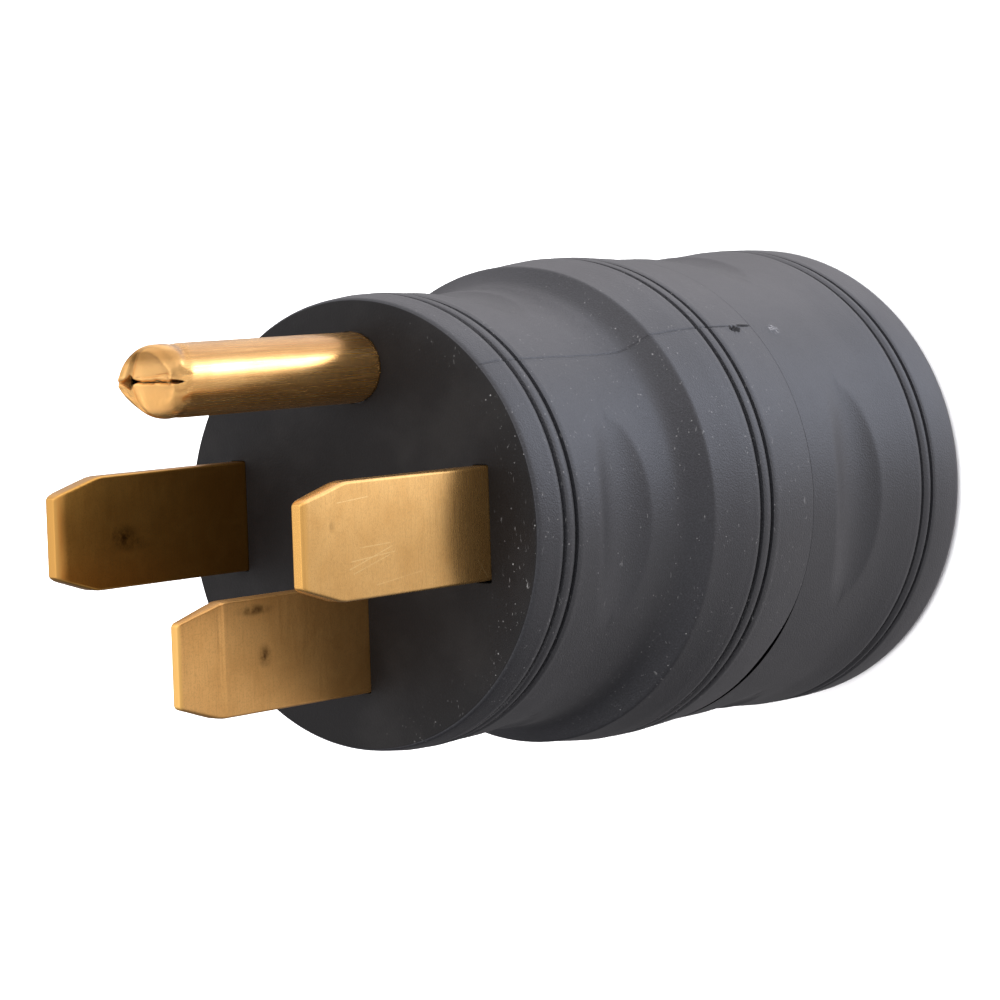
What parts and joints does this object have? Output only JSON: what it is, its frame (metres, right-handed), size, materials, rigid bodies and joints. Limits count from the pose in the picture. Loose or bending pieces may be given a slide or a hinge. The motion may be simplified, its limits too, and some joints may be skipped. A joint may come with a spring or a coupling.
{
  "type": "plug adapter",
  "caption": "Round moulded power plug adapter with straight brass blades and a round ground pin on one face, a waisted grip body and a three-wire socket in the other face.",
  "frame": {"origin": "centre of the socket face, on which the adapter stands", "axes": "+Z along the body's axis toward the prong tips, +Y toward the round ground pin, +X to the right seen from the prongs"},
  "size_m": [0.0555, 0.0556, 0.1112],
  "materials": {
    "housing_black": "fine satin moulded surface, softly blue-grey in the light",
    "housing_black_rear": "fine satin moulded surface",
    "insert_black": "plain dull black moulding",
    "brass_blade": "rolled brass with a fine cross grain",
    "brass_blade_worn": "darkened brass with a bright tip",
    "brass_pin": "drawn brass, polished along its length",
    "brass_inner": "plain stamped brass",
    "spring_steel": "plain spring steel",
    "screw_steel": "zinc-plated steel",
    "carrier_plastic": "dark insulating moulding",
    "barrier_plastic": "pale insulating moulding"
  },
  "bodies": {
    "root": {"front_housing": "housing_black", "rear_housing": "housing_black_rear", "socket_insert": "insert_black", "blade_carrier": "carrier_plastic", "blade_clamp_plate": "carrier_plastic", "clamp_screws": "screw_steel", "hot_blade": "brass_blade", "idle_blade": "brass_blade_worn", "neutral_blade": "brass_blade_worn", "ground_pin": "brass_pin", "hot_strap": "brass_inner", "neutral_strap": "brass_inner", "ground_strap": "brass_inner", "blade_rivets": "brass_inner", "contact_rivets": "brass_inner", "strap_barrier": "barrier_plastic", "contact_carrier": "carrier_plastic", "contact_cover": "carrier_plastic", "cover_screws": "screw_steel", "hot_contact": "brass_inner", "neutral_contact": "brass_inner", "ground_contact": "brass_inner", "hot_contact_spring": "spring_steel", "neutral_contact_spring": "spring_steel", "ground_contact_spring": "spring_steel", "housing_screws": "screw_steel"}
  },
  "joints": []
}
